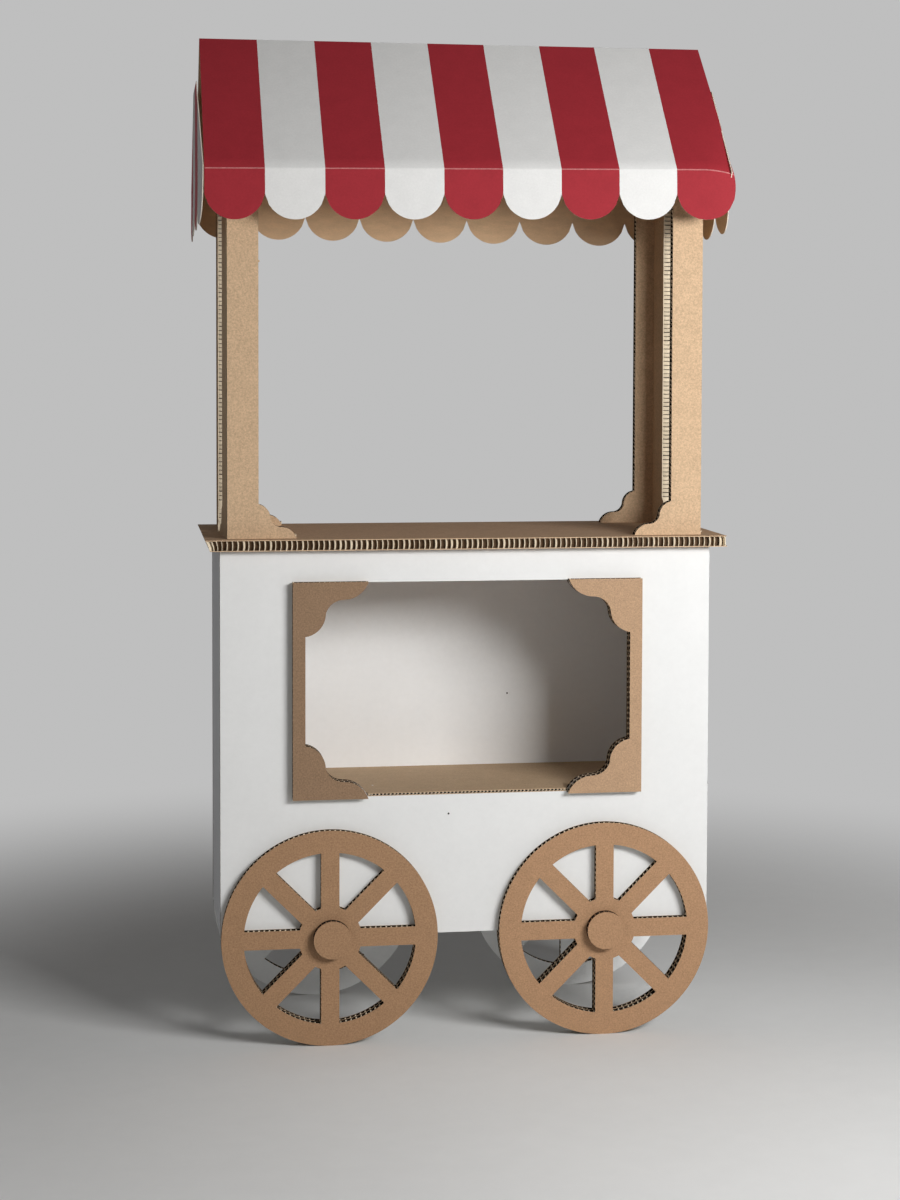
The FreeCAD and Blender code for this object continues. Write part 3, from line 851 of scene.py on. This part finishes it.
class CART_OT_awning(Piece, bpy.types.Operator):
    """Striped roof with its scalloped valances, and the two side flaps"""

    bl_idname = "cart.awning"
    bl_label = "Awning"

    def build(self, scene):
        self.roof(scene.cart_awning)
        self.flaps(scene.cart_awning)

    def section(self, drop, fold):
        """Section of the roof from its front hem to its back one: (y, z, outward angle)."""
        half, ridge = ROOF_HALF, ROOF_RISE
        slope = math.atan2(ridge, half)
        hem, bend, run = 8, 4, 13
        line = [(-half, -drop + (drop - fold) * i / hem, math.pi) for i in range(hem + 1)]
        for i in range(1, bend):
            turn = (math.pi / 2 - slope) * i / bend
            y = -half + fold * (1 - math.cos(turn))
            z = -fold + fold * math.sin(turn) + fold * i / bend
            line.append((y, z, math.pi - turn))
        for i in range(1, run):
            line.append((-half * (1 - i / run), ridge * (i / run), math.pi / 2 + slope))
        behind = [(-y, z, math.pi - a) for y, z, a in reversed(line)]
        return line + [(0, ridge, math.pi / 2)] + behind

    def roof(self, settings):
        width, card = settings.stripe, settings.card
        band, fold, columns = 0.0367, 0.0022, 16
        rows = []
        for c in range(columns + 1):
            offset = width * (c / columns - 0.5)
            line = self.section(band + scallop_drop(offset, width, settings.scallop), fold)
            rows.append([
                ((offset, y, z), (offset, y - card * math.cos(a), z - card * math.sin(a)))
                for y, z, a in line
            ])
        shell = skin(rows)
        for index, face in enumerate(shell.faces):
            heights = [shell.verts[i][2] for i in face]
            if shell.slots[index] == PRINT and max(heights) < fold and min(heights) > -0.7 * fold:
                shell.slots[index] = OTHER
        mats = [KIT["mats"][key] for key in ("red", "inside", "rim", "crease")]
        mesh = shell.mesh("awning_stripe", mats)
        for vertex in mesh.vertices:
            vertex.co.x -= (STRIPES - 1) / 2 * width
        mesh = grown(
            mesh, KIT["stripes"], Stripes=STRIPES, Width=width, Along=(1.0, 0.0, 0.0),
            Print=KIT["mats"]["ivory"],
        )
        for vertex in mesh.vertices:
            vertex.co = tilted(self.warped(vertex.co, settings))
        smooth(mesh)
        add_piece("awning_sheet", mesh, ["awning"], "printed_card")

    def warped(self, p, settings):
        """Point of the roof after its curled front corner, bulged and tucked ends, and twist."""
        radius, x = settings.curl, p.x
        curl_from, curl_up_to, ends_from = 0.335, 0.09, 0.30
        dip, spread, bulge, tuck, back_share = 0.0065, 0.0035, 0.004, 0.008, 0.85
        low = max(0.0, 1 - max(p.z, 0.0) / curl_up_to)
        if p.y < 0 and x > curl_from:
            s = x - curl_from
            far = (s / (AWNING_HALF - curl_from)) ** 2
            p.x -= (s - radius * math.sin(s / radius)) * low
            p.y += radius * (1 - math.cos(s / radius)) * low
            p.z -= dip * far * low
            p.x += spread * math.sin(math.pi * min(max(-p.z, 0.0) / 0.05, 1.0)) * far
        if p.y < 0 and x < -ends_from and p.z > 0:
            up = min(p.z / ROOF_RISE, 1.0)
            p.y -= bulge * math.sin(math.pi * up) * (-ends_from - x) / 0.08
        if x > ends_from and p.z > 0:
            up = min(p.z / ROOF_RISE, 1.0)
            p.x -= tuck * (x - ends_from) / (AWNING_HALF - ends_from) * up
        lift = settings.twist * x / AWNING_HALF
        p.z += lift * (max(-p.y, 0) - back_share * max(p.y, 0)) / ROOF_HALF
        return p

    def flared(self, sign, y, hang):
        """How far a flap's point stands out, back and up; hang is 0 at the eaves and 1 at the hem."""
        wave = 0.0008 * math.sin(y * 34) * hang
        from_front = y + ROOF_HALF
        if sign < 0:
            flare = 0.0045 * min(from_front / 0.1, 1.0) + 0.0015 * hang ** 1.5
            return 0.001 + flare + wave, 0.0, 0.006 * hang
        bent = min(hang * 3, 1.0)
        curl = 0.012 * bent * max(0.0, 1 - from_front / 0.06)
        return wave - 0.0035 - 0.0025 * bent, curl, 0.0

    def flaps(self, settings):
        width, rise, card = settings.stripe, settings.scallop, settings.card
        half, band, top = ROOF_HALF, 0.049, 0.136
        scallops, columns, steps = 4, 14, 14
        for hand, sign in (("left", -1), ("right", 1)):
            rows = []
            for c in range(scallops * columns + 1):
                y = -half + width * c / columns
                offset = (c % columns) / columns * width - width / 2
                low = -band - scallop_drop(offset, width, rise)
                high = min(top, ROOF_RISE * (1 - abs(y) / half))
                row = []
                for i in range(steps + 1):
                    z = low + (high - low) * i / steps
                    out, back, up = self.flared(sign, y, max(0.0, -z) / (band + rise))
                    row.append([
                        (sign * (AWNING_HALF + out + depth), y + back, z + up)
                        for depth in (card, 0.0)
                    ])
                rows.append(row)
            if sign < 0:
                rows = rows[::-1]
            shell = skin(rows)
            for index, slot in enumerate(shell.slots):
                middle = sum(shell.verts[i][1] for i in shell.faces[index]) / 4
                if slot == PRINT and int((middle + half) / width) % 2:
                    shell.slots[index] = OTHER
            name = f"side_flap_sheet_{hand}"
            mats = [KIT["mats"][key] for key in ("ivory", "inside", "rim", "red")]
            mesh = shell.mesh(name, mats)
            for vertex in mesh.vertices:
                vertex.co = tilted(vertex.co)
            smooth(mesh)
            add_piece(name, mesh, [f"side_flap_{hand}"], "printed_card")


class CART_OT_marks(Piece, bpy.types.Operator):
    """Dirt specks, and a torn flake on the front left post"""

    bl_idname = "cart.marks"
    bl_label = "Marks"

    def build(self, scene):
        sides, thick, flat = 7, 0.0004, Matrix.Identity(4)
        back_inner = BACK - scene.cart_boards.white_board
        for name, spot, radius, turn, key, slot in (
            ("panel_speck", (-0.0284, FRONT, 0.332), 0.0015, FACING, "speck", "white_board"),
            ("back_speck", (0.1011, back_inner, 0.4682), 0.0014, FACING, "speck", "white_board"),
            ("shelf_speck", (-0.1322, -0.0624, 0.3626), 0.0014, flat, "ivory", "shelf_board"),
            ("post_flake", (-0.3037, FRONT + 0.0105, 1.1341), 0.0018, FACING, "post", "kraft_board"),
        ):
            shell = Shell()
            shell.prism([ring(0, 0, radius, sides)], 0.0, thick, FACE, FACE)
            mesh = shell.mesh(name, [KIT["mats"][key]])
            mesh.transform(stand(*spot, turn))
            add_piece(name, mesh, [], slot)


def smooth(mesh):
    """Smooth shading, with the folds kept sharp."""
    mesh.polygons.foreach_set("use_smooth", [True] * len(mesh.polygons))
    mesh.set_sharp_from_angle(angle=math.radians(35))


# Stage

BACKGROUND = (0.52, 0.52, 0.52, 1.0)


def seen_rays(tree, x, y):
    """1 for rays that show a surface, straight, mirrored or through glass, and 0 for its light."""
    path = node(tree, "ShaderNodeLightPath", x, y).outputs
    first = maths(tree, "MAXIMUM", x + 180, y, path["Is Camera Ray"], path["Is Glossy Ray"])
    return maths(tree, "MAXIMUM", x + 360, y, first, path["Is Transmission Ray"])


class CART_OT_stage(Piece, bpy.types.Operator):
    """Floor, lights, camera and colour settings"""

    bl_idname = "cart.stage"
    bl_label = "Stage"

    def build(self, scene):
        self.floor(scene)
        self.lights(scene)
        self.camera(scene)

    def floor(self, scene):
        """Round floor of pale paper, which fades into the even tone of the room's background."""
        radius, count = 14.0, 96
        fade_from, fade_to = 0.6, 1.9
        mesh = bpy.data.meshes.new("floor")
        verts = [(x, y, 0.0) for x, y in ring(0, 0, radius, count)]
        mesh.from_pydata(verts, [], [list(range(count))])
        mat = paper("floor paper", (0.80, 0.80, 0.79), 0.7, 0.01, 0.01, 3, 0.02)
        tree = mat.node_tree
        out = next(n for n in tree.nodes if n.type == "OUTPUT_MATERIAL")
        near = out.inputs[0].links[0].from_socket
        coords = node(tree, "ShaderNodeTexCoord", 300, -600)
        reach = node(tree, "ShaderNodeVectorMath", 480, -600, {
            0: coords.outputs["Object"],
        }, operation="LENGTH")
        fade = node(tree, "ShaderNodeMapRange", 660, -600, {
            "Value": reach.outputs["Value"], "From Min": fade_from, "From Max": fade_to,
        }, interpolation_type="SMOOTHSTEP")
        share = maths(tree, "MULTIPLY", 840, -600, fade.outputs[0], seen_rays(tree, 480, -900))
        far = node(tree, "ShaderNodeEmission", 840, -300, {"Color": BACKGROUND})
        mix = node(tree, "ShaderNodeMixShader", 1050, 0, {0: share, 1: near, 2: far.outputs[0]})
        feed(tree, out.inputs[0], mix.outputs[0])
        mesh.materials.append(mat)
        item = bpy.data.objects.new("floor", mesh)
        scene.collection.objects.link(item)

    def lights(self, scene):
        stage = scene.cart_stage
        aim = Vector((0.0, FRONT, 0.75))
        flat = stage.key_distance * math.cos(stage.key_height)
        spot = aim + Vector((
            flat * math.sin(stage.key_side), -flat * math.cos(stage.key_side),
            stage.key_distance * math.sin(stage.key_height),
        ))
        for name, place, target, power, width, height in (
            ("key", spot, aim, stage.key_power, 0.95, 0.5),
            ("fill", Vector((-2.3, -2.4, 2.3)), Vector((-0.3, 0.0, 1.1)), 4.0, 1.6, 1.6),
        ):
            lamp = bpy.data.lights.new(name, "AREA")
            lamp.energy = power
            lamp.shape = "RECTANGLE"
            lamp.size = width
            lamp.size_y = height
            item = bpy.data.objects.new(name, lamp)
            item.location = place
            item.rotation_euler = (target - place).to_track_quat("-Z", "Y").to_euler()
            scene.collection.objects.link(item)
        world = bpy.data.worlds.new("room")
        world.use_nodes = True
        tree = world.node_tree
        room = tree.nodes["Background"]
        room.inputs["Color"].default_value = (1.0, 0.985, 0.97, 1.0)
        room.inputs["Strength"].default_value = stage.room
        behind = node(tree, "ShaderNodeBackground", 0, -200, {"Color": BACKGROUND})
        mix = node(tree, "ShaderNodeMixShader", 250, 0, {
            0: seen_rays(tree, -400, 300), 1: room.outputs[0], 2: behind.outputs[0],
        })
        feed(tree, tree.nodes["World Output"].inputs["Surface"], mix.outputs[0])
        scene.world = world
        scene.view_settings.view_transform = "Standard"

    def camera(self, scene):
        lens = bpy.data.cameras.new("camera")
        lens.sensor_fit = "VERTICAL"
        lens.sensor_height = 36.0
        lens.lens = 67.3
        lens.shift_y = -0.1253
        lens.clip_end = 60.0
        item = bpy.data.objects.new("camera", lens)
        yaw, pitch, roll = math.radians(8.49), math.radians(2.62), math.radians(0.16)
        ahead = Vector((
            math.sin(yaw) * math.cos(pitch), math.cos(yaw) * math.cos(pitch), -math.sin(pitch),
        ))
        side = Vector((math.cos(yaw), -math.sin(yaw), 0.0))
        above = side.cross(ahead)
        right = side * math.cos(roll) + above * math.sin(roll)
        up = above * math.cos(roll) - side * math.sin(roll)
        turn = Matrix((right, up, -ahead)).transposed().to_4x4()
        item.matrix_world = stand(-0.507, FRONT - 3.2107, 1.0121, turn)
        scene.collection.objects.link(item)
        scene.camera = item


class CART_PT_panel(bpy.types.Panel):
    """Sidebar panel with one button per group of pieces"""

    bl_idname = "CART_PT_panel"
    bl_label = "Cart stand"
    bl_space_type = "VIEW_3D"
    bl_region_type = "UI"
    bl_category = "Cart stand"

    def draw(self, context):
        scene = context.scene
        for settings in (scene.cart_boards, scene.cart_awning, scene.cart_stage):
            box = self.layout.box()
            for name in settings.__annotations__:
                box.prop(settings, name)
        for operator in OPERATORS:
            self.layout.operator(operator.bl_idname)


OPERATORS = (
    CART_OT_panels, CART_OT_wheels, CART_OT_window, CART_OT_shelf, CART_OT_table, CART_OT_posts,
    CART_OT_awning, CART_OT_marks, CART_OT_stage,
)
CLASSES = (BoardSettings, AwningSettings, StageSettings) + OPERATORS + (CART_PT_panel,)


def register():
    for item in CLASSES:
        bpy.utils.register_class(item)
    bpy.types.Scene.cart_boards = bpy.props.PointerProperty(type=BoardSettings)
    bpy.types.Scene.cart_awning = bpy.props.PointerProperty(type=AwningSettings)
    bpy.types.Scene.cart_stage = bpy.props.PointerProperty(type=StageSettings)


def unregister():
    del bpy.types.Scene.cart_boards
    del bpy.types.Scene.cart_awning
    del bpy.types.Scene.cart_stage
    for item in reversed(CLASSES):
        bpy.utils.unregister_class(item)


def main():
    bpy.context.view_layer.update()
    register()
    scene = bpy.context.scene
    KIT.update(mats=make_materials(), cells=cell_nodes(), stripes=stripe_nodes())
    KIT.update(boards=scene.cart_boards)
    bpy.ops.cart.panels()
    bpy.ops.cart.wheels()
    bpy.ops.cart.window()
    bpy.ops.cart.shelf()
    bpy.ops.cart.table()
    bpy.ops.cart.posts()
    bpy.ops.cart.awning()
    bpy.ops.cart.marks()
    bpy.ops.cart.stage()
    bpy.context.view_layer.update()


if __name__ == "__main__":
    main()
